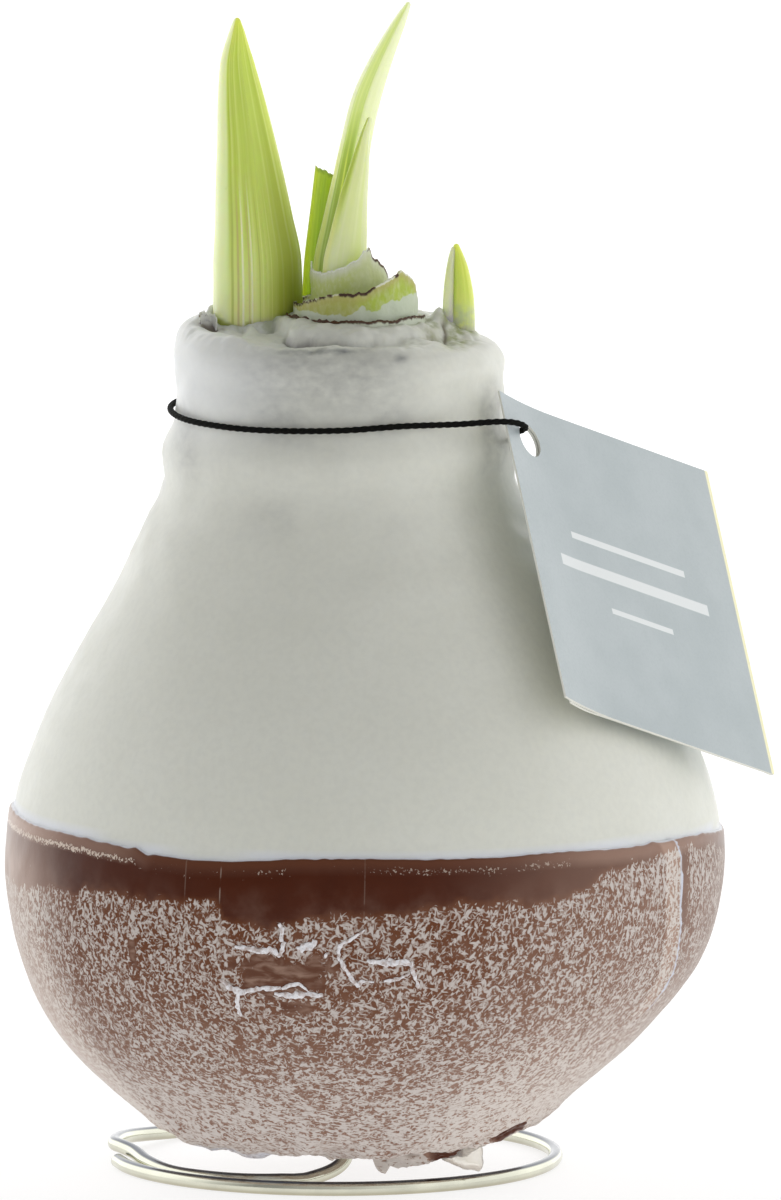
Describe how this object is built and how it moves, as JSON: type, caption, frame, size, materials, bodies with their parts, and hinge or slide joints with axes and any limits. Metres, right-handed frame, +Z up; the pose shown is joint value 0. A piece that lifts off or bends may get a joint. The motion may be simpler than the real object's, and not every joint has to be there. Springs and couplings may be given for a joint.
{
  "type": "waxed amaryllis bulb",
  "caption": "Amaryllis bulb in bud, coated in white wax with a brown wax base, on a spiked wire ring stand, with a folded card tag on an elastic cord.",
  "frame": {"origin": "middle of the bounding box's foot, on the surface that the wire ring stands on", "axes": "+Z up along the bulb; -Y is the front, with the tag at the right, +X"},
  "size_m": [0.0962, 0.0874, 0.1478],
  "materials": {
    "bulb_tissue": "green cut bulb scales with dry brown edges",
    "white_wax": "smooth soft-sheen wax",
    "brown_wax": "brown wax with a pale crystalline bloom",
    "bud_tissue": "smooth waxy spathe",
    "leaf_tissue": "smooth leaf",
    "pale_leaf_tissue": "smooth pale leaf",
    "dark_leaf_tissue": "smooth leaf with a torn tip",
    "steel_wire": "bright drawn galvanised wire",
    "elastic": "braided black elastic",
    "card": "silver-grey printed card, white inside"
  },
  "bodies": {
    "root": {"bulb": "bulb_tissue", "wax_coat": "white_wax", "wax_dip": "brown_wax", "flower_bud": "bud_tissue", "leaf_long": "leaf_tissue", "leaf_front": "pale_leaf_tissue", "leaf_cut": "dark_leaf_tissue", "side_bud": "leaf_tissue", "wire_stand": "steel_wire", "cord": "elastic", "tag": "card"}
  },
  "joints": []
}
